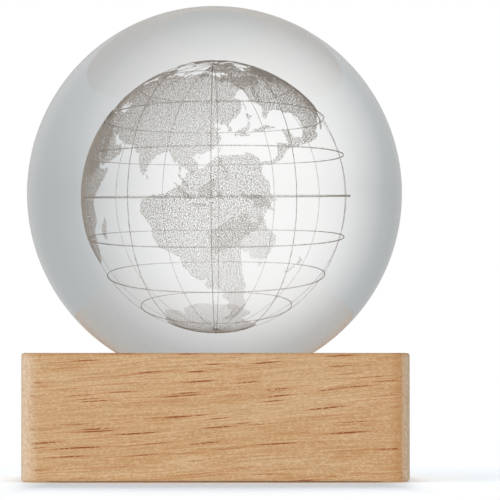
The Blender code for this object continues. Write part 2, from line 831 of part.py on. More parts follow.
def make_inlet():
    """A drawn metal shell round a plastic tongue, lying on the power board."""
    middle = (inlet_mouth + inlet_back) / 2
    shell = plate("inlet_shell", inlet_width, inlet_height, inlet_height / 2, inlet_length,
                  bright_steel)
    face_rear(shell, (inlet_offset, middle, inlet_axis_height))
    hollow_width = inlet_width - 2 * inlet_wall
    hollow_height = inlet_height - 2 * inlet_wall
    hollow = plate("inlet_hollow", hollow_width, hollow_height, hollow_height / 2,
                   inlet_length + 2 * cut_overrun)
    face_rear(hollow, (inlet_offset, middle, inlet_axis_height))
    cut(shell, hollow)

    plug_end = inlet_mouth - plug_depth
    core_width = hollow_width - 2 * fit_gap
    core_height = hollow_height - 2 * fit_gap
    core = plate("inlet_tongue", core_width, core_height, core_height / 2,
                 plug_end - inlet_back, black_plastic)
    face_rear(core, (inlet_offset, (plug_end + inlet_back) / 2, inlet_axis_height))
    tongue_low = plug_end - (plug_end - inlet_back) / 2
    tongue = box("tongue_plate",
                 (inlet_offset - tongue_width / 2, tongue_low,
                  inlet_axis_height - tongue_thickness / 2),
                 (inlet_offset + tongue_width / 2, inlet_mouth - tongue_recess,
                  inlet_axis_height + tongue_thickness / 2))
    join(core, tongue)


def make_switch():
    """The switch's housing, with a square boss that guides the plunger."""
    low = ledge_height
    across = (button_offset - switch_width / 2, button_offset + switch_width / 2)
    body = ease(box("switch_body", (across[0], switch_low, low),
                    (across[1], switch_rear, low + switch_height), black_plastic),
                switch_ease)
    boss = box("switch_boss",
               (button_offset - boss_width / 2, switch_rear - boss_length,
                button_axis_height - boss_width / 2),
               (button_offset + boss_width / 2, switch_front_face,
                button_axis_height + boss_width / 2))
    plunger_low = switch_front_face - plunger_in_switch
    guide = plunger_width / 2 + slide_gap
    guide_hole = box("plunger_guide",
                     (button_offset - guide, plunger_low - button_travel - side_gap,
                      button_axis_height - guide),
                     (button_offset + guide, switch_front_face + cut_overrun,
                      button_axis_height + guide))
    cut(join(body, boss), guide_hole)

    half = plunger_width / 2
    plunger_high = collar_front + plunger_in_button
    plunger = box("switch_plunger",
                  (button_offset - half, plunger_low, button_axis_height - half),
                  (button_offset + half, plunger_high, button_axis_height + half),
                  black_plastic)
    ease(plunger, switch_ease, 1)


def make_button():
    """The button cap, with a collar behind the rear wall and a socket for the plunger."""
    face = rear_face - button_recess - collar_front
    radius = button_diameter / 2
    profile = [
        (0, face - button_dish),
        (radius / 2, face - button_dish * 3 / 4),
        (radius - button_ease, face),
        (radius - button_ease / 4, face - button_ease / 4),
        (radius, face - button_ease),
        (radius, collar_thickness),
        (collar_diameter / 2, collar_thickness),
        (collar_diameter / 2, 0),
        (0, 0),
    ]
    button = face_rear(turned("power_button", profile, medium_segments, black_plastic),
                       (button_offset, collar_front, button_axis_height))
    socket = plunger_width / 2 + fit_gap
    cut(button, box("button_socket",
                    (button_offset - socket, collar_front - cut_overrun,
                     button_axis_height - socket),
                    (button_offset + socket, collar_front + plunger_in_button + fit_gap,
                     button_axis_height + socket)))


def make_cover_and_feet():
    cover = lay(plate("bottom_cover", cover_width, cover_width, cover_corner, cover_thickness,
                      cover_plastic), cover_bottom, cover_top)
    ease(cover, cover_ease, 1)
    for corner, (across, along) in corners.items():
        place = (across * foot_offset, along * foot_offset)
        cut(cover, disc("foot_recess_" + corner, foot_diameter + 2 * fit_gap,
                        cover_bottom - cut_overrun, foot_thickness + fit_gap, place))
        foot = disc("foot_" + corner, foot_diameter, 0, foot_thickness, place,
                    material=foot_rubber)
        ease(foot, foot_ease, 1)
    head = cover_screw_head / 2
    shank = cover_screw_diameter / 2
    slope = (head - shank) / cover_screw_head_height
    seat = turned("countersink_pattern", [
        (0, cover_thickness + cut_overrun),
        (shank + hole_gap, cover_thickness + cut_overrun),
        (shank + hole_gap, cover_screw_head_height),
        (head + hole_gap + slope * cut_overrun, -cut_overrun),
        (0, -cut_overrun),
    ], small_segments)
    for index, place in enumerate(cover_screw_places):
        countersink = add_mesh(f"countersink_{index}",
                               evaluated_mesh(seat, f"countersink_{index}"))
        countersink.location = (*place, cover_bottom)
        cut(cover, countersink)


def make_screws():
    cover_screw = wood_screw("cover_screw_pattern", cover_screw_diameter, cover_screw_length,
                             cover_screw_head, cover_screw_head_height, True)
    board_screw = wood_screw("board_screw_pattern", board_screw_diameter, board_screw_length,
                             board_screw_head, board_screw_head_height, False)
    set_copies(cover_screw, bright_steel,
               {"cover_screw_" + corner: Matrix.Translation((*place, cover_bottom))
                for corner, place in zip(corners, cover_screw_places)})
    places = {}
    for kind, spots, seat in (("led_board_screw_", led_screw_places, led_board_bottom),
                              ("power_board_screw_", power_screw_places,
                               power_board_bottom)):
        for side, spot in zip(sides, spots):
            head_face = seat - fit_gap - board_screw_head_height
            places[kind + side] = Matrix.Translation((*spot, head_face))
    set_copies(board_screw, bright_steel, places)


make_crystal_ball()
hollow_block(make_wooden_block())
make_light_window()
make_led_board()
make_power_board()
make_solder_joints()
make_leads()
make_inlet()
make_switch()
make_button()
make_cover_and_feet()
make_screws()
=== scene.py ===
import math

import bmesh
import bpy
import numpy as np
from mathutils import Color, Matrix, Vector


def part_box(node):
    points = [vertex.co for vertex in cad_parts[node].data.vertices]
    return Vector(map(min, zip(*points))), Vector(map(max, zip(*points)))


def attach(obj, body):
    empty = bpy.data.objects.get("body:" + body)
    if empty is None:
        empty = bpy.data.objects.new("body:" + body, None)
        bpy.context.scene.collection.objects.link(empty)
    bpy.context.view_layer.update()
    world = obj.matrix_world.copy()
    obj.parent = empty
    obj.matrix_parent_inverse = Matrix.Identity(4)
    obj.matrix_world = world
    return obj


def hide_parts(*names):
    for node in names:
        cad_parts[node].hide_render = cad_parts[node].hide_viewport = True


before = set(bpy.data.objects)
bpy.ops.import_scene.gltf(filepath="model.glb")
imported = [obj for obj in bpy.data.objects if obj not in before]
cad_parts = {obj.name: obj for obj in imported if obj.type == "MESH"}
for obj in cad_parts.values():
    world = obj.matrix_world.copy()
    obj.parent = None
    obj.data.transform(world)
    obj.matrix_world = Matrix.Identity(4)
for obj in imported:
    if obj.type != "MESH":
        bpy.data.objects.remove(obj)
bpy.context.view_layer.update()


# The wooden base: one block of pale beech, sawn, bored from above for the ball and from
# below for the light, then sanded and given a thin matt lacquer. The grain runs across the
# front and rises a little to the right. The left and right sides show end grain.
class Value:
    """An output of a shader node. Sums on it add Math nodes; node() adds any other kind."""

    def __init__(self, socket):
        self.socket = socket

    def node(self, kind, settings=None, inputs=None, output=0):
        """Add a node with these settings and socket values, and go on from its output."""
        made = self.socket.id_data.nodes.new("ShaderNode" + kind)
        for name, value in (settings or {}).items():
            if name == "stops":
                stops = made.color_ramp.elements
                stops.remove(stops[0])
                for place, shade in value[:-1]:
                    stops.new(place).color = shade
                stops[-1].position, stops[-1].color = value[-1]
            else:
                setattr(made, name, value)
        for name, value in (inputs or {}).items():
            enter(made.inputs[name], value)
        return Value(made.outputs[output])

    def also(self, output):
        """Another output of the same node."""
        return Value(self.socket.node.outputs[output])

    def sum(self, operation, *terms):
        """A Math node on these terms."""
        return self.node("Math", {"operation": operation}, dict(enumerate(terms)))

    def __add__(self, other):
        return self.sum("ADD", self, other)

    def __radd__(self, other):
        return self.sum("ADD", other, self)

    def __sub__(self, other):
        return self.sum("SUBTRACT", self, other)

    def __rsub__(self, other):
        return self.sum("SUBTRACT", other, self)

    def __mul__(self, other):
        return self.sum("MULTIPLY", self, other)

    def __rmul__(self, other):
        return self.sum("MULTIPLY", other, self)

    def __truediv__(self, other):
        return self.sum("DIVIDE", self, other)

    def __rtruediv__(self, other):
        return self.sum("DIVIDE", other, self)

    def __abs__(self):
        return self.sum("ABSOLUTE", self)

    def rise(self, start, end):
        """0 below start and 1 above end, with a smooth step between."""
        return self.node("MapRange", {"interpolation_type": "SMOOTHSTEP"},
                         {0: self, 1: start, 2: end})

    def mix(self, first, second):
        """The first colour where this value is 0, the second where it is 1."""
        return self.node("Mix", {"data_type": "RGBA"}, {0: self, 6: first, 7: second}, 2)

    def times(self, scale):
        """This vector with each of its parts multiplied."""
        return self.node("VectorMath", {"operation": "MULTIPLY"}, {0: self, 1: scale})

    def turned(self, angle):
        """This place turned about the axis from front to back."""
        return self.node("VectorRotate", {"rotation_type": "Y_AXIS"},
                         {"Vector": self, "Angle": angle})

    def part(self, axis):
        """One of this vector's parts, X, Y or Z."""
        return self.node("SeparateXYZ", {}, {0: self}, "XYZ".index(axis))

    def noise(self, sizes, detail=2.0, roughness=0.5, output=0):
        """Soft noise with clouds of those sizes, in millimetres, along X, Y and Z."""
        shrunk = self.times(tuple(1 / size for size in sizes))
        return self.node("TexNoise", {}, {"Vector": shrunk, "Scale": 1.0, "Detail": detail,
                                          "Roughness": roughness}, output)


def enter(socket, value):
    """Link a value to a socket, or set the socket to a number or colour."""
    if isinstance(value, Value):
        socket.id_data.links.new(value.socket, socket)
    else:
        socket.default_value = value


def tint(red, green, blue):
    """A colour as seen on a display, 0 to 255, for Blender's linear sockets."""
    return (*Color((red / 255, green / 255, blue / 255)).from_srgb_to_scene_linear(), 1)


class Finish:
    """One material. Its place is a point on the piece, in millimetres."""

    def __init__(self, name, **fixed):
        self.material = bpy.data.materials.new(name)
        self.material.use_nodes = True
        self.shader = self.material.node_tree.nodes["Principled BSDF"]
        self.put(**fixed)
        place = Value(self.shader.outputs[0]).node("TexCoord", output="Object")
        self.place = place.times((1000, 1000, 1000))
        self.facing = place.also("Normal")

    def put(self, **inputs):
        """Set the shader's sockets, named with _ for each space."""
        for name, value in inputs.items():
            enter(self.shader.inputs[name.replace("_", " ")], value)

    def bump(self, height, depth):
        """Relief of that height pattern, as deep as depth says, in millimetres."""
        self.put(Normal=height.node("Bump", {}, {"Height": height, "Strength": 1.0,
                                                 "Distance": depth / 1000}))

    def dress(self, *nodes):
        """Give CAD nodes this finish."""
        for node in nodes:
            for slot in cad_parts[node].material_slots:
                slot.material = self.material


grain_rise = math.radians(4)
grain_drift = (0, 3, 3)
early_wood, late_wood, cloudy_wood = tint(221, 182, 138), tint(212, 168, 120), tint(216, 184, 144)
dark_fibre, pale_fibre = tint(190, 142, 94), tint(230, 200, 160)
dark_dust, pale_dust = tint(188, 138, 90), tint(238, 210, 172)
streak_brown, stain_brown, fleck_brown = tint(192, 118, 60), tint(194, 120, 62), tint(146, 66, 26)
beech = Finish("lacquered_beech", IOR=1.45, Specular_IOR_Level=0.3)
grain = beech.place.turned(grain_rise)
drift = grain.noise((50, 12.5, 12.5), output="Color")
grain = drift.node("VectorMath", {"operation": "MULTIPLY_ADD"},
                   {0: drift, 1: grain_drift, 2: grain})
bands = grain.noise((60, 9, 3)).rise(0.36, 0.64)
clouds = grain.noise((14, 8, 4)).rise(0.45, 0.7)
fibres = grain.noise((8, 0.4, 0.14), roughness=0.6)
dust = grain.noise((0.5, 0.2, 0.17), detail=1.0)
wood = bands.mix(early_wood, late_wood)
wood = (clouds * 0.3).mix(wood, cloudy_wood)
wood = (fibres.rise(0.42, 0.68) * 0.6).mix(wood, dark_fibre)
wood = ((1 - fibres.rise(0.32, 0.52)) * 0.5).mix(wood, pale_fibre)
wood = ((1 - dust.rise(0.3, 0.55)) * 0.3).mix(wood, dark_dust)
wood = (dust.rise(0.5, 0.7) * 0.4).mix(wood, pale_dust)


def vessels(length, gap, thickness, share):
    """Slits along the grain, and the stain round each: one slit in a share of long cells."""
    cell = grain.node("TexVoronoi", {}, {
        "Vector": grain.times((1 / length, 1 / gap, 1 / gap)), "Scale": 1.0}, "Color")
    chosen = cell.part("X").rise(1 - share - 0.02, 1 - share + 0.02)
    away = cell.also("Distance") / (cell.part("Y") * thickness + thickness * 0.6)
    return (1 - away.rise(0.6, 1.0)) * chosen, (1 - away.rise(0.8, 1.8)) * chosen


streaks, _ = vessels(length=26, gap=0.5, thickness=0.2, share=0.7)
flecks, stains = vessels(length=15, gap=0.45, thickness=0.2, share=0.95)
flecks = flecks * grain.noise((0.5, 0.4, 0.3), detail=1.0).rise(0.36, 0.48)
wood = (streaks * 0.5).mix(wood, streak_brown)
wood = (stains * 0.4).mix(wood, stain_brown)
wood = (flecks * 0.9).mix(wood, fleck_brown)

# On the two ends, past these distances from the middle, the wood is paler and porous.
left_end, right_end = (26.8, 30.0), (28.2, 29.4)
pale_end, dull_end, pore_brown = tint(240, 219, 194), tint(220, 192, 160), tint(192, 156, 122)
sanding_lean = 0.6    # in radians
to_right = beech.place.part("X")
upward = abs(beech.facing.part("Z"))
end_grain = to_right.rise(*right_end) + (0 - to_right).rise(*left_end)
end_grain = end_grain * (1 - upward.rise(0.5, 0.8))
pores = beech.place.noise((0.9, 0.3, 0.4), detail=1.0).rise(0.58, 0.7)
sanding = beech.place.turned(sanding_lean).noise((0.25, 0.25, 4), detail=1.0)
end_wood = (pores * 0.25).mix(sanding.rise(0.35, 0.65).mix(pale_end, dull_end), pore_brown)
wood = (end_grain * 0.9).mix(wood, end_wood)

# Painted shade: a little browner along the eased top and bottom edges, and beside the right end.
middle_height, edge_away = 10.1, (9.0, 9.75)
right_shade_strip = (26.2, 28.6)
edge_shade_brown, right_shade_brown = tint(196, 138, 84), tint(188, 126, 70)
# painted shade on the eased top and bottom edges, where they turn from the lamps
edge_shade = abs(beech.place.part("Z") - middle_height).rise(*edge_away)
# painted shade on the strip beside the right end, the side away from the left lamp
right_end_shade = to_right.rise(*right_shade_strip)
wood = (edge_shade * 0.2).mix(wood, edge_shade_brown)
wood = (right_end_shade * (0.4 - end_grain * 0.35)).mix(wood, right_shade_brown)
beech.put(Base_Color=wood, Roughness=0.5 + fibres * 0.15)
beech.bump(fibres * 0.4 - flecks - pores * end_grain * 0.5, depth=0.03)
beech.dress("wooden_base")


# The light window: a disc of frosted acrylic, laser cut. It lies on the shelf under the
# ball and spreads the light of the LEDs below.
frosted = Finish("frosted_acrylic", IOR=1.49, Transmission_Weight=0.6)
frost = frosted.place.noise((0.05, 0.05, 0.05))
frosted.put(Base_Color=frost.rise(0.3, 0.7).mix(tint(236, 233, 226), tint(247, 245, 240)),
            Roughness=0.45 + frost * 0.2)
frosted.bump(frost, depth=0.01)
frosted.dress("light_window")


# The LED board: glass fibre with a white mask, screwed up under the shelf. Six square LEDs
# with yellow gel lenses stand on it round two small resistors.
white_board = Finish("white_mask_board", IOR=1.5)
weave = white_board.place.noise((0.4, 0.4, 0.4))
white_board.put(Base_Color=weave.rise(0.3, 0.7).mix(tint(226, 226, 220), tint(236, 236, 231)),
                Roughness=0.35 + weave * 0.2)
white_board.dress("led_board")
led_moulding = Finish("led_moulding", IOR=1.5)
speck = led_moulding.place.noise((0.15, 0.15, 0.15))
led_moulding.put(Base_Color=speck.mix(tint(235, 233, 226), tint(242, 241, 236)),
                 Roughness=0.4 + speck * 0.15)
led_gel = Finish("yellow_phosphor_gel", IOR=1.41, Coat_Weight=0.5, Emission_Strength=0.9)
swirl = led_gel.place.noise((0.6, 0.6, 0.6), detail=3.0)
led_gel.put(Base_Color=swirl.mix(tint(244, 214, 120), tint(238, 198, 92)),
            Emission_Color=swirl.mix(tint(255, 236, 196), tint(255, 226, 176)),
            Roughness=0.15 + swirl * 0.1)
for number in range(1, 7):
    led_moulding.dress(f"led_chip_{number}")
    led_gel.dress(f"led_lens_{number}")
chip_black = Finish("resistor_coat", IOR=1.5)
fine = chip_black.place.noise((0.2, 0.2, 0.2))
chip_black.put(Base_Color=fine.mix(tint(30, 30, 32), tint(44, 44, 46)),
               Roughness=0.45 + fine * 0.2)
chip_black.dress("led_resistor_left", "led_resistor_right", "power_resistor_left",
                 "power_resistor_right")


# Solder, the two leads and the power board: the leads hang in a slack bow between the
# boards, soldered at both ends; the power board is screwed up under two ledges.
solder = Finish("tin_solder", IOR=1.5, Metallic=1.0)
dull = solder.place.noise((0.25, 0.25, 0.25))
solder.put(Base_Color=dull.mix(tint(190, 190, 194), tint(214, 214, 218)),
           Roughness=0.2 + dull * 0.2)
solder.dress("led_board_solder_left", "led_board_solder_right",
             "power_board_solder_left", "power_board_solder_right")
for shade, dark, light in (("red", (150, 18, 14), (172, 28, 20)),
                           ("black", (24, 24, 26), (38, 38, 40))):
    cover = Finish(shade + "_insulation", IOR=1.5)
    rub = cover.place.noise((0.3, 0.3, 0.3), detail=3.0)
    cover.put(Base_Color=rub.mix(tint(*dark), tint(*light)),
              Roughness=0.4 + rub * 0.2)
    cover.dress("led_lead_" + shade)
green_board = Finish("green_mask_board", IOR=1.5)
tracks = green_board.place.noise((1.2, 1.2, 1.2), detail=0.0).rise(0.49, 0.51)
green_board.put(Base_Color=tracks.mix(tint(18, 84, 48), tint(30, 106, 60)),
                Roughness=0.3 + green_board.place.noise((0.2, 0.2, 0.2)) * 0.1)
green_board.dress("power_board")


# Inlet, switch and screws: the inlet is a drawn steel shell, plated like the screws, round a
# plastic tongue. It and the moulded switch stand on the power board, behind openings in the
# rear wall, and the button cap sits on the switch's plunger.
steel = Finish("plated_steel", IOR=1.5, Metallic=1.0)
brushed = steel.place.noise((0.08, 0.8, 0.08), detail=3.0)
steel.put(Base_Color=brushed.mix(tint(186, 186, 188), tint(206, 206, 208)),
          Roughness=0.22 + brushed * 0.16)
steel.dress("inlet_shell", "cover_screw_front_left", "cover_screw_front_right",
            "cover_screw_rear_left", "cover_screw_rear_right", "led_board_screw_left",
            "led_board_screw_right", "power_board_screw_left", "power_board_screw_right")
black_plastic = Finish("black_moulded_plastic", IOR=1.5)
orange_peel = black_plastic.place.noise((0.12, 0.12, 0.12))
black_plastic.put(Base_Color=orange_peel.mix(tint(30, 30, 32), tint(42, 42, 44)),
                  Roughness=0.36 + orange_peel * 0.14)
black_plastic.bump(orange_peel, depth=0.006)
black_plastic.dress("inlet_tongue", "switch_body", "switch_plunger", "power_button")


# The bottom cover: a plate of black plastic with a fine spark texture, let into the
# underside and held by four countersunk screws in the corners.
cover_plastic = Finish("textured_cover_plastic", IOR=1.5)
sparks = cover_plastic.place.noise((0.18, 0.18, 0.18))
cover_plastic.put(Base_Color=sparks.mix(tint(32, 32, 33), tint(48, 48, 49)),
                  Roughness=0.55 + sparks * 0.2)
cover_plastic.bump(sparks, depth=0.02)
cover_plastic.dress("bottom_cover")


# The feet: four discs punched from self-adhesive foam rubber, pressed into shallow
# recesses in the cover.
foam = Finish("foam_rubber", IOR=1.5)
cells = foam.place.node("TexVoronoi", {}, {"Vector": foam.place, "Scale": 5.0})
foam.put(Base_Color=cells.mix(tint(38, 38, 39), tint(66, 66, 67)),
         Roughness=0.8 + cells * 0.15)
foam.bump(cells, depth=0.04)
foam.dress("foot_front_left", "foot_front_right", "foot_rear_left", "foot_rear_right")


# The crystal ball: a ball of clear optical glass, ground and polished all over, lying loose
# in the bevelled seat. Light passes through it, so it throws no black shadow.
ball_low, ball_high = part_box("crystal_ball")
ball_radius = (ball_high.x - ball_low.x) / 2
ball_centre = Vector((0, 0, ball_high.z - ball_radius))


def new_piece(name, mesh, finish, body):
    """Put a mesh in the scene as a piece that moves with a body."""
    mesh.materials.append(finish.material)
    piece = bpy.data.objects.new(name, mesh)
    bpy.context.scene.collection.objects.link(piece)
    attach(piece, body)
    return piece


grid_steps = 96    # faces along each side of the cube that is blown up to the ball
ball_mesh = bpy.data.meshes.new("polished_ball")
skin = bmesh.new()
bmesh.ops.create_cube(skin, size=2)
bmesh.ops.subdivide_edges(skin, edges=skin.edges, cuts=grid_steps - 1, use_grid_fill=True)
for point in skin.verts:
    x, y, z = (math.tan(part * math.pi / 4) for part in point.co)
    point.co = ball_centre + Vector((x, y, z)).normalized() * ball_radius
for face in skin.faces:
    face.smooth = True
skin.to_mesh(ball_mesh)
skin.free()
glass = Finish("clear_optical_glass", IOR=1.54, Roughness=0.0, Transmission_Weight=1.0)
cast = glass.place.noise((40, 40, 40), detail=1.0)
glass.put(Base_Color=cast.mix(tint(253, 254, 255), tint(254, 255, 255)))
ball = new_piece("polished_glass_ball", ball_mesh, glass, "ball")
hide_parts("crystal_ball")
ball.visible_shadow = False


# The engraved globe: a laser has cracked the solid glass at thousands of points, each a
# little longer along the beam. Points filled in evenly draw the land; close rows of them
# draw the grid. The globe is about half as wide as the ball and sits a touch off centre.
globe_radius = 14.33
globe_offset = (0.12, -1.2, -0.4)
globe_lean = (Matrix.Rotation(math.radians(-0.4), 3, "Y")
              @ Matrix.Rotation(math.radians(2.43), 3, "X"))
front_longitude = 118.7
front_point, front_pitch = 0.052, 0.128    # radius of a point, and its way to the next
rear_point, rear_pitch = 0.038, 0.095
line_point, line_pitch = 0.056, 0.14
point_stretch = 1.3                        # half the length of a point, in radii
point_spread = (0.8, 1.2)                  # of the points' sizes
point_wander = 0.56                        # of the pitch
fine_height, full_height = -12, -1         # from the upper to the lower, points get finer
finest_land, finest_parallel, finest_meridian = 0.66, 0.95, 0.85
equator_apart, equator_share = 0.18, 0.78  # of its two rows, in degrees; of line_point
parallels_at = (17.1, 35.0, 54.9)
meridians, sectors = 12, 6
pole_stretch = ((55, 75, 90), (1, 1.015, 1.025))
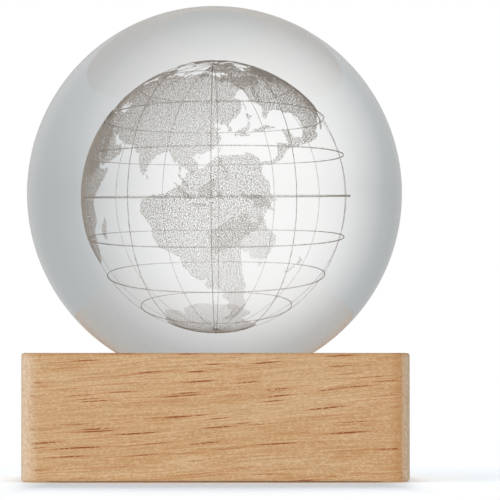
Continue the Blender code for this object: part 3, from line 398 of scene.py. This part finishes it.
# Where the engraved map has a latitude, and which one it is.
drawn_latitude = (-90, -80, -64, -41, -37, -30, -20, -9, -2, 11, 24, 40, 64, 76, 90)
true_latitude = (-90, -83, -66.5, -47, -43, -35, -25, -12, -6, 8, 22, 39.5, 60, 73, 90)
scatter = np.random.default_rng(11)
coasts = {
    "africa": [(-6, 36), (-2, 35), (3, 37), (10, 37), (11, 34), (15, 32.5), (19, 30.5), (22, 33),
        (25, 32), (29, 31), (32, 31.3), (32.5, 30), (35, 25), (37, 21), (37.5, 18.5),
        (39.5, 15.5), (42, 13), (43.3, 11.5), (47, 11), (51.2, 12), (51, 10), (49, 6), (46, 2.5),
        (42.5, -1.5), (40, -4), (39, -7), (40.5, -11), (40.5, -15), (36.5, -18.5), (35, -20),
        (35.5, -24), (32.8, -26), (32.5, -28.5), (30, -31.5), (26, -34), (20, -34.8), (18.2, -33),
        (17, -29), (15, -26), (14.3, -22.5), (12, -18), (13.5, -13), (13.3, -9), (12, -5.5),
        (9.5, -2), (9.5, 4), (8, 4.5), (5.5, 4.5), (4, 6.3), (1, 5.8), (-2, 4.8), (-4.5, 5.2),
        (-7.5, 4.4), (-10, 6), (-13, 8.5), (-15, 11), (-17, 13), (-17.3, 14.8), (-16.3, 18),
        (-17, 21), (-15, 24.5), (-13, 27.7), (-10, 29.5), (-9.7, 31.5), (-7, 33.8)],
    "eurasia": [(-9, 37), (-9, 39), (-9.3, 43), (-4, 43.5), (-1.5, 43.5), (-1.2, 46), (-4.5, 48),
        (-1.5, 48.7), (1.5, 50.5), (4, 52), (8, 53.7), (8, 57), (10.5, 57.5), (11, 54.2),
        (14, 54), (19, 54.5), (21, 57), (24, 58.5), (30, 60), (25, 60.2), (22, 60.5), (21.5, 63),
        (25, 65.5), (22, 66), (17.5, 61), (18.5, 59.5), (16.5, 57), (14, 55.5), (12.5, 56),
        (11, 59), (8, 58), (5.5, 59), (5, 62), (10, 64), (14, 67.5), (19, 70), (26, 71), (31, 70),
        (41, 67.5), (40, 66), (35, 66.5), (38, 64), (44, 66.5), (44, 68.5), (54, 68.5),
        (60, 69.5), (68, 68.5), (67, 72), (70, 73), (73, 71.5), (72.5, 68), (75, 69), (76, 72),
        (81, 73), (87, 75), (95, 76), (104, 77.7), (113, 74), (122, 73), (130, 71), (140, 72.5),
        (150, 71.5), (160, 69.7), (170, 69.5), (180, 69), (187, 66.8), (190, 66), (187, 64.5),
        (181, 65), (179, 62.5), (172, 61), (165, 60), (162.5, 58), (162.5, 55.5), (160, 53),
        (156.7, 51), (155.7, 54), (156.5, 57.5), (163, 61), (160, 61.8), (156, 61.5), (152, 59),
        (145, 59.3), (140, 57.5), (136, 54.5), (141, 53), (140.5, 50), (138, 46.5), (133, 43),
        (130, 42), (127.5, 39.5), (129.3, 37), (129, 35.3), (126.5, 34.5), (126.5, 37.5),
        (124.5, 40), (121.5, 39), (121.5, 40.7), (118, 39), (119, 37.3), (122.5, 37), (119.5, 35),
        (121.5, 32), (122, 30), (120, 26.5), (117, 23.5), (113.5, 22), (110, 20.5), (108, 21.5),
        (106, 19), (108.8, 15.5), (109, 12), (107, 10.3), (105, 8.7), (105, 10.5), (102.5, 12),
        (100.8, 13.3), (99.5, 11.5), (99.3, 9.2), (101, 6.8), (103.4, 4), (104, 1.4), (101.5, 3),
        (100.3, 6), (98.3, 8.5), (98.7, 12), (97.7, 16), (95, 15.8), (94.3, 18), (92, 21.5),
        (89, 21.8), (87, 21), (85, 19.5), (82, 16.5), (80.3, 14.5), (80, 11), (78, 8.2),
        (76.3, 10), (74.5, 14), (73, 17.5), (72.7, 21), (70.5, 20.8), (69, 22.3), (67, 24.8),
        (62, 25.2), (57.5, 25.7), (56.5, 27), (52, 27.7), (50, 30), (48, 30), (48.5, 28),
        (50.2, 26.3), (51.5, 24.5), (54, 24.1), (56.3, 26.2), (56.8, 24), (59.7, 22.5),
        (57.8, 19), (55, 17), (52, 15.5), (48, 14), (45, 12.8), (43.3, 12.8), (42.7, 16.5),
        (39, 21.5), (36.5, 25.5), (34.8, 28.5), (34.2, 27.8), (32.5, 30), (32.3, 31.2),
        (34.3, 31.4), (36, 35), (36, 36.7), (32, 36), (30.5, 36.7), (27.5, 36.8), (26.5, 39),
        (29, 41), (33, 42), (36, 41.5), (41, 41.5), (38.5, 44.5), (39, 47), (35.5, 46.3),
        (35, 45), (33.5, 44.5), (33, 46), (30.5, 46.3), (28.5, 43.5), (28.5, 41.3), (26, 40.7),
        (23.5, 40.3), (24, 38), (22.8, 36.6), (21.3, 37.8), (19.4, 41), (19.5, 42), (15.5, 44),
        (13.7, 45.5), (12.3, 45), (13.7, 43), (18.4, 40.2), (16.8, 39.5), (16, 38), (15.7, 40),
        (12, 42), (10, 44), (7.5, 43.7), (3.2, 43), (3, 41.8), (0, 40), (-0.3, 38.5), (-2, 36.8),
        (-5.5, 36.1)],
    "britain": [(-5.5, 50), (1.3, 51.3), (0.3, 53), (-1.7, 55.5), (-2, 57.5), (-4, 58.6),
        (-5.8, 57), (-5, 54.8), (-3, 54), (-4.5, 53), (-3, 51.5)],
    "ireland": [(-6.3, 52.2), (-10, 51.8), (-9.8, 54), (-7.5, 55.2), (-5.7, 54.5)],
    "iceland": [(-22.5, 64), (-18.5, 63.5), (-14, 64.7), (-15, 66.2), (-20, 66), (-24, 65.5)],
    "svalbard": [(14, 77.5), (22, 78.5), (26, 80), (18, 80), (11, 79)],
    "novaya": [(52, 71), (57.5, 70.7), (57, 73), (68, 76.5), (61, 76.3), (54.5, 73.5)],
    "severnaya": [(95, 79), (104, 79), (96, 81)],
    "new_siberian": [(138, 75.5), (148, 75), (142, 76)],
    "sakhalin": [(142, 46), (143.5, 49.5), (143, 54), (142, 51)],
    "hokkaido": [(140, 41.5), (141.5, 45.3), (145.3, 43.5), (143, 42)],
    "honshu": [(131, 34.2), (135.5, 33.7), (140, 35.2), (142, 39.5), (141, 41.3), (139.8, 38.5),
        (136.5, 36.8), (132.5, 35.5)],
    "kyushu": [(130, 33.5), (131.8, 33), (131, 31.2), (130, 32)],
    "taiwan": [(120.2, 23), (121.8, 25), (120.9, 22)],
    "hainan": [(108.7, 19), (110.8, 20), (109.5, 18.2)],
    "luzon": [(120.3, 16), (120.7, 18.4), (122.2, 18.3), (121.7, 15.5), (124, 13), (120.7, 14)],
    "mindanao": [(122.2, 7), (124, 8.5), (125.7, 9.6), (126.3, 7.2), (125, 5.7)],
    "visayas": [(122, 11.7), (125, 12.3), (125.3, 10.2), (122.7, 9.5)],
    "borneo": [(109, 1.5), (111.3, 2.7), (115, 5), (117, 7), (119, 5), (117.8, 1), (116.3, -3.5),
        (114.5, -4), (110.5, -3), (109.2, 0)],
    "sumatra": [(95.3, 5.6), (98, 4), (101, 2), (104, -1.5), (106, -3.2), (105.7, -5.8),
        (102.2, -4), (99, 0), (97, 3)],
    "java": [(105.2, -6.7), (108.5, -6.5), (112.5, -6.9), (114.5, -8), (111, -8.3), (106.5, -7.4)],
    "sulawesi": [(119.5, -5.5), (119, -3), (120, 0.5), (125, 1.6), (121, 0), (122.5, -1),
        (121.2, -2), (122.8, -4.8), (120.4, -3)],
    "timor": [(123.5, -10.3), (127, -8.5), (125, -9)],
    "new_guinea": [(131, -0.8), (134, -1), (135, -3.3), (138, -1.7), (141, -2.6), (145, -4.3),
        (147.8, -6), (147, -7.2), (150.7, -10.4), (147, -9.6), (144, -7.7), (142, -9.2),
        (138, -8.3), (138, -5.8), (133, -4), (132.8, -2.8)],
    "new_britain": [(148.5, -5.7), (152, -4.3), (150.5, -6.2)],
    "australia": [(113.7, -22.5), (114, -26.5), (115.7, -32), (115, -34.3), (118, -35),
        (123.5, -34), (126, -32.3), (131, -31.5), (134.5, -33), (135.8, -34.8), (138, -33),
        (138.2, -35.6), (140, -38), (143.5, -38.8), (147, -38.8), (150, -37.3), (151.5, -33),
        (153.2, -30), (153.2, -25.5), (149.5, -22), (146.3, -19), (145.3, -15), (143.7, -14.3),
        (142.5, -10.8), (141.6, -13), (140.8, -17.5), (138, -16.8), (135.5, -15), (136.7, -12.2),
        (132.5, -11.3), (130.3, -13), (129.3, -15), (126, -14), (122.3, -18), (118.5, -20.3)],
    "tasmania": [(144.8, -40.8), (148.2, -40.9), (148, -43), (146, -43.5)],
    "new_zealand_north": [(173, -34.6), (175.5, -36.7), (178.4, -37.7), (177, -39.5),
        (175.3, -41.5), (173.9, -39.3), (174.7, -37.5)],
    "new_zealand_south": [(172.7, -40.6), (174.2, -41.7), (172.8, -43.7), (170.7, -45.8),
        (168.5, -46.6), (166.6, -45.8), (170.5, -43)],
    "madagascar": [(49.3, -12), (50.3, -15.7), (48, -21), (46.8, -25), (44.5, -25), (43.4, -22),
        (44.3, -17), (47, -15.2)],
    "sri_lanka": [(79.8, 9.3), (81.8, 7.5), (80.5, 6), (79.8, 7.5)],
    "north_america": [(-168, 65.7), (-162, 66.5), (-166.5, 68.5), (-157, 71.3), (-141, 69.7),
        (-130, 70), (-124, 69.5), (-115, 68.5), (-108, 68), (-97, 68), (-95, 71.5), (-90, 69),
        (-85, 69.5), (-82, 68.5), (-87, 66), (-94, 61), (-94, 58.7), (-88, 56.7), (-82.5, 55.2),
        (-82, 52.8), (-79.5, 51.5), (-79, 54.5), (-77, 57.5), (-78, 62.3), (-72, 61.5),
        (-69.5, 59), (-66, 58.7), (-64.5, 60.3), (-61.5, 57), (-57, 54), (-56, 52), (-60, 50.2),
        (-66.5, 50.2), (-69, 48.5), (-64.5, 49), (-65, 47), (-61, 45.5), (-65.5, 43.5),
        (-67, 44.8), (-70, 43.5), (-70.5, 42), (-74, 40.5), (-75.5, 38), (-76, 35), (-81, 31.5),
        (-80.2, 26.5), (-81, 25.2), (-82.7, 28), (-84, 30), (-89, 30.2), (-91, 29.3),
        (-94.5, 29.5), (-97.3, 27.5), (-97.8, 22.5), (-95.5, 18.5), (-91.5, 18.5), (-90.3, 21),
        (-87, 21.5), (-88, 18), (-88.5, 15.9), (-84, 15.8), (-83.5, 11), (-81.5, 9), (-77.5, 8.5),
        (-77.5, 7.5), (-80, 7.3), (-83, 8.3), (-85.7, 10), (-87.5, 13), (-92, 14.5), (-96, 15.8),
        (-101.5, 17.5), (-105.5, 20), (-105.5, 22.5), (-109.4, 26), (-112.5, 29.5),
        (-114.8, 31.8), (-112.5, 28), (-110, 24), (-110, 23), (-112, 25), (-114.5, 28),
        (-116, 30.5), (-117.3, 33), (-120.6, 34.5), (-122.5, 37.5), (-124.3, 40.5), (-124, 46),
        (-124.5, 48.3), (-123, 49), (-127.5, 51), (-130.5, 54.5), (-134, 58), (-139.5, 59.7),
        (-146, 60.8), (-151.5, 59.5), (-151, 61), (-154, 58.8), (-158, 56.5), (-164.5, 54.7),
        (-158, 58.5), (-162, 59), (-165, 61), (-164.5, 63), (-161, 64.3), (-166, 64.5)],
    "baffin": [(-80, 73.7), (-72, 71.5), (-68, 69.5), (-61.5, 66.5), (-64.5, 63), (-71, 62.8),
        (-73, 65), (-73, 68), (-80, 70), (-88, 71.5), (-86, 73.5)],
    "victoria": [(-117, 71), (-115, 73), (-106, 73), (-102, 69.5), (-115, 69.3)],
    "banks": [(-125, 72), (-122, 74.3), (-117.5, 73.3), (-122.5, 71.2)],
    "ellesmere": [(-78, 76.3), (-74, 79), (-63, 82.3), (-72, 83), (-90, 81.5), (-96, 79.5),
        (-89, 76.5)],
    "melville": [(-116, 75.5), (-100, 76.3), (-98, 75.2), (-108, 74.8)],
    "devon": [(-91, 76.3), (-80, 75.5), (-81, 74.7), (-92, 74.8)],
    "southampton": [(-86, 65.5), (-81, 64), (-86.5, 63.7)],
    "newfoundland": [(-59, 47.7), (-56, 51.3), (-53, 48), (-53.5, 46.8), (-56, 47.2)],
    "cuba": [(-84.5, 22), (-81, 23.1), (-75, 20.7), (-77.5, 20)],
    "hispaniola": [(-74.3, 18.5), (-72.5, 19.9), (-68.5, 18.7), (-71.5, 17.8)],
    "greenland": [(-44, 60), (-50, 62.5), (-53.5, 67), (-51, 70), (-55, 72.5), (-60, 76),
        (-70, 76.5), (-72, 78.5), (-62, 81.5), (-45, 82.5), (-32, 83.5), (-18, 81.5), (-19, 77),
        (-21.5, 72.5), (-26, 68.5), (-37, 65.7), (-42, 62)],
    "south_america": [(-77.5, 8.5), (-75.5, 10.7), (-71.5, 12.3), (-71.5, 10.8), (-68, 11),
        (-62, 10.6), (-57.5, 6.2), (-52, 4.8), (-50, 0.5), (-44.5, -2.7), (-40, -2.9),
        (-35.3, -5.3), (-35, -8.5), (-39, -13), (-39, -17.5), (-41, -22), (-45, -23.5),
        (-48.5, -26), (-48.8, -28.5), (-52.3, -33), (-55, -34.9), (-58.3, -34), (-56.8, -36.5),
        (-58, -38.5), (-62.2, -39), (-65, -41), (-63.8, -42.7), (-67.5, -46), (-66, -48),
        (-69, -50.5), (-68.4, -52.5), (-65.3, -54.8), (-69, -55.5), (-73.5, -52.8), (-75.5, -48),
        (-73, -42), (-73.5, -37.5), (-71.5, -32), (-70.3, -25), (-70.3, -18.4), (-76, -14),
        (-79, -8), (-81.3, -5), (-80, -2.5), (-80, 0.7), (-77.3, 4), (-77.5, 7)],
    "antarctica": [(-180, -78), (-160, -78), (-150, -76.5), (-130, -74), (-110, -74.5),
        (-100, -73), (-85, -73), (-75, -73), (-67, -68), (-60, -64), (-57, -63.3), (-62, -66),
        (-62, -74), (-55, -78), (-40, -78), (-30, -76), (-18, -72.5), (-10, -71), (0, -70),
        (15, -69.8), (30, -69.5), (38, -69.5), (45, -67.5), (52, -66), (58, -67.2), (67, -68),
        (71, -73), (75, -69.8), (82, -67.3), (90, -66.5), (100, -65.5), (110, -66), (120, -66.8),
        (130, -66.2), (140, -66.7), (150, -68.5), (160, -70), (170, -71.5), (167, -77),
        (180, -78), (180, -90), (-180, -90)],
}


def inside(longitude, latitude, outline):
    """Which of the points lie inside an outline, by counting the edges west of each."""
    found = np.zeros(len(longitude), bool)
    for (x1, y1), (x2, y2) in zip(outline, outline[1:] + outline[:1]):
        if y1 != y2:
            crosses = (y1 > latitude) != (y2 > latitude)
            found ^= crosses & (longitude < (x2 - x1) * (latitude - y1) / (y2 - y1) + x1)
    return found


def on_land(longitude, latitude):
    """Which of the points lie on land."""
    found = np.zeros(len(longitude), bool)
    for outline in coasts.values():
        for turn in (-360, 0, 360):
            found |= inside(longitude + turn, latitude, outline)
    return found


def on_globe(longitude, latitude):
    """Places on the engraved globe, in millimetres from the ball's centre."""
    east = np.radians(longitude - front_longitude)
    north = np.radians(latitude)
    drawn_long = np.interp(np.abs(latitude), *pole_stretch)
    spots = np.stack([np.cos(north) * np.sin(east), -np.cos(north) * np.cos(east),
                      np.sin(north) * drawn_long], axis=1) * globe_radius
    return spots @ np.array(globe_lean).T + np.array(globe_offset)


def engrave(name, spots, size, finest):
    """A small crack at each spot, three sides above and three below, finer near the light."""
    count = len(spots)
    grown = np.interp(spots[:, 2], (fine_height, full_height), (size * finest, size))
    grown = grown[:, None, None] * scatter.uniform(*point_spread, (count, 1, 1))
    turns = scatter.uniform(0, math.tau, (count, 1)) + np.arange(3) * math.tau / 3
    level = np.zeros((count, 3))
    waist = np.stack([np.cos(turns), np.sin(turns), level], axis=2)
    tips = np.broadcast_to([(0, 0, point_stretch), (0, 0, -point_stretch)], (count, 2, 3))
    corners = np.concatenate([waist, tips], axis=1) * grown + spots[:, None, :]
    sides = np.array([(0, 1, 3), (1, 2, 3), (2, 0, 3), (1, 0, 4), (2, 1, 4), (0, 2, 4)])
    faces = sides + corners.shape[1] * np.arange(count)[:, None, None]
    mesh = bpy.data.meshes.new(name)
    mesh.vertices.add(corners.size // 3)
    mesh.vertices.foreach_set("co", (corners / 1000 + np.array(ball_centre)).ravel())
    mesh.loops.add(faces.size)
    mesh.loops.foreach_set("vertex_index", faces.ravel())
    mesh.polygons.add(faces.size // 3)
    mesh.polygons.foreach_set("loop_start", np.arange(0, faces.size, 3))
    mesh.update(calc_edges=True)
    return new_piece(name, mesh, cracked_glass, "ball")


cracked_glass = Finish("cracked_glass", IOR=1.54, Roughness=0.9)
chalk = cracked_glass.place.noise((0.4, 0.4, 0.4), detail=1.0)
cracked_glass.put(Base_Color=chalk.mix(tint(178, 169, 159), tint(198, 188, 177)))

golden_angle = math.pi * (3 - math.sqrt(5))
for side, size, pitch in ((1, front_point, front_pitch), (-1, rear_point, rear_pitch)):
    spread = math.tau * globe_radius ** 2 * 2 / pitch ** 2
    order = np.arange(int(spread)) + 0.5
    latitude = np.degrees(np.arcsin(1 - 2 * order / spread))
    longitude = np.degrees(order * golden_angle) % 360 - 180
    wander = np.degrees(pitch / globe_radius) * point_wander
    latitude += scatter.uniform(-wander, wander, len(order))
    longitude += (scatter.uniform(-wander, wander, len(order))
                  / np.cos(np.radians(latitude)))
    land = on_land(longitude, np.interp(latitude, drawn_latitude, true_latitude))
    land &= np.cos(np.radians(longitude - front_longitude)) * side > 0
    for sector in range(sectors):
        chosen = land & ((longitude + 180) // (360 / sectors) == sector)
        if chosen.any():
            engrave(f"engraved_{'front' if side > 0 else 'rear'}_land_{sector + 1}",
                    on_globe(longitude[chosen], latitude[chosen]), size, finest_land)

step = math.degrees(line_pitch / globe_radius)
rows = [(north, line_point * equator_share) for north in (equator_apart, -equator_apart)]
rows += [(half * north, line_point) for north in parallels_at for half in (1, -1)]
for number, (north, size) in enumerate(rows, 1):
    around = np.arange(0, 360, step / math.cos(math.radians(north)))
    engrave(f"engraved_parallel_{number}", on_globe(around, np.full(len(around), north)),
            size, finest_parallel)
climb = np.arange(-90, 90, step)
for number in range(meridians):
    east = np.full(len(climb), 360 / meridians * number)
    engrave(f"engraved_meridian_{number + 1}", on_globe(east, climb), line_point,
            finest_meridian)


# The studio: a plain white floor that keeps a soft shadow, white paper behind the lamp that
# fades to grey at the sides, soft lamps at the left, right and rear, and a long lens.
def light_path(anchor):
    """1 for a ray from the camera, and 1 for that or one by way of glass or metal."""
    straight = anchor.node("LightPath", output="Is Camera Ray")
    shows = straight.sum("MAXIMUM", straight, straight.also("Is Glossy Ray"))
    return straight, shows.sum("MAXIMUM", shows, straight.also("Is Transmission Ray"))


paper_middle = Vector((-0.15, 1, 0.12)).normalized()
mirrored_loss = 0.42    # of the paper's light, where the glass mirrors it


def paper_fade(way):
    """The paper's tone that way: white ahead and a little left, grey towards the sides."""
    toward = way.node("VectorMath", {"operation": "DOT_PRODUCT"}, {0: way, 1: paper_middle},
                      "Value")
    half_turns = toward.sum("ARCCOSINE", toward) / math.pi
    tone = way.node("ValToRGB", {"stops": [(degrees / 180, (*shade, 1)) for degrees, shade in (
        (0, (1, 0.995, 0.98)), (15, (0.97, 0.965, 0.95)), (22, (0.88, 0.88, 0.87)),
        (30, (0.74, 0.745, 0.74)), (37, (0.62, 0.63, 0.63)), (46, (0.5, 0.515, 0.52)),
        (58, (0.45, 0.47, 0.475)), (90, (0.44, 0.46, 0.465)), (145, (0.5, 0.51, 0.515)),
        (180, (0.78, 0.785, 0.78)))]}, {0: half_turns})
    mirrored = way.node("LightPath", output="Is Glossy Ray")
    mirrored = mirrored * (1 - mirrored.also("Is Transmission Ray"))
    return tone.times(1 - mirrored * mirrored_loss)


floor_radius = 6.0
shadow_reach = (0.05, 0.11)      # from the lamp's middle: here the shadow fades to white
corner_aside = (0.025, 0.033)    # and past the block's front corners, which are this far
corner_ahead = (0.024, 0.03)     # to the side and this far to the front
shadow_tone, floor_light = (1.2, 1.28, 1.33, 1), (0.6, 0.6, 0.6, 1)
room_tone, white = (0.42, 0.42, 0.43, 1), (1, 1, 1, 1)
steep_gain = 0.3                 # of the floor's light, where glass shows it from right above
floor_mesh = bpy.data.meshes.new("studio_floor")
disc = bmesh.new()
bmesh.ops.create_circle(disc, cap_ends=True, segments=96, radius=floor_radius)
disc.to_mesh(floor_mesh)
disc.free()
floor = bpy.data.objects.new("studio_floor", floor_mesh)
bpy.context.scene.collection.objects.link(floor)
paper = bpy.data.materials.new("floor_paper")
paper.use_nodes = True
paper.node_tree.nodes.clear()
surface = paper.node_tree.nodes.new("ShaderNodeOutputMaterial").inputs["Surface"]
straight, shows = light_path(Value(surface))
spot = straight.node("NewGeometry", output="Position")
lighting = straight.node("Emission", {}, {"Color": floor_light})
sight = spot.node("VectorMath", {"operation": "SUBTRACT"}, {0: spot, 1: ball_centre})
sight = sight.node("VectorMath", {"operation": "NORMALIZE"}, {0: sight})
through_glass = straight.node("Emission", {}, {
    "Color": paper_fade(sight).times(1 - sight.part("Z") * steep_gain)})
shaded = straight.node("BsdfDiffuse", {}, {"Color": shadow_tone})
unshaded = straight.node("Emission", {}, {"Color": white})
far = spot.node("VectorMath", {"operation": "LENGTH"}, {0: spot}, "Value").rise(*shadow_reach)
past_corner = (abs(spot.part("X")).rise(*corner_aside)
               * (0 - spot.part("Y")).rise(*corner_ahead))
direct = straight.node("MixShader", {}, {0: far.sum("MAXIMUM", far, past_corner),
                                         1: shaded, 2: unshaded})
seen = straight.node("MixShader", {}, {0: straight, 1: through_glass, 2: direct})
from_above = straight.node("MixShader", {}, {0: shows, 1: lighting, 2: seen})

# Seen from below, the floor is clear.
clear = straight.node("BsdfTransparent")
enter(surface, straight.node("MixShader", {}, {
    0: spot.also("Backfacing") * straight, 1: from_above, 2: clear}))
floor_mesh.materials.append(paper)

world = bpy.data.worlds.new("studio_world")
bpy.context.scene.world = world
world.use_nodes = True
backdrop = world.node_tree.nodes["Background"].inputs
straight, shows = light_path(Value(backdrop["Color"]))
seen = straight.mix(paper_fade(straight.node("TexCoord", output="Generated")), white)
enter(backdrop["Color"], shows.mix(room_tone, seen))
backdrop["Strength"].default_value = 1.0


def soft_lamp(name, place, target, size, power, colour=(1, 1, 1)):
    """An oval lamp that no glass or metal shows."""
    light = bpy.data.lights.new(name, "AREA")
    light.shape, (light.size, light.size_y) = "ELLIPSE", size
    light.energy, light.color = power, colour
    lamp = bpy.data.objects.new(name, light)
    bpy.context.scene.collection.objects.link(lamp)
    lamp.location = place
    lamp.rotation_mode = "QUATERNION"
    lamp.rotation_quaternion = (Vector(target) - Vector(place)).to_track_quat("-Z", "Y")
    lamp.visible_glossy = lamp.visible_transmission = False


soft_lamp("left_lamp", place=(-0.95, -1.35, 0.16), target=(0, 0, 0.03), size=(0.7, 0.5),
          power=14, colour=(1, 0.99, 0.97))
soft_lamp("right_lamp", place=(1.5, -0.35, 0.3), target=(0, 0, 0.03), size=(0.6, 0.6), power=3)
soft_lamp("rear_lamp", place=(0, 1.25, 0.62), target=(0, 0, 0), size=(0.25, 0.8), power=13)

camera_data = bpy.data.cameras.new("long_lens")
camera_data.lens, camera_data.sensor_width = 362.2, 36
camera_data.clip_start, camera_data.clip_end = 0.05, 50
camera = bpy.data.objects.new("camera", camera_data)
bpy.context.scene.collection.objects.link(camera)
camera.location = (-0.00475, -0.805, 0.0197)
camera.rotation_euler = (math.radians(91.194), 0, math.radians(-0.742))
bpy.context.scene.camera = camera
bpy.context.scene.view_settings.view_transform = "Standard"
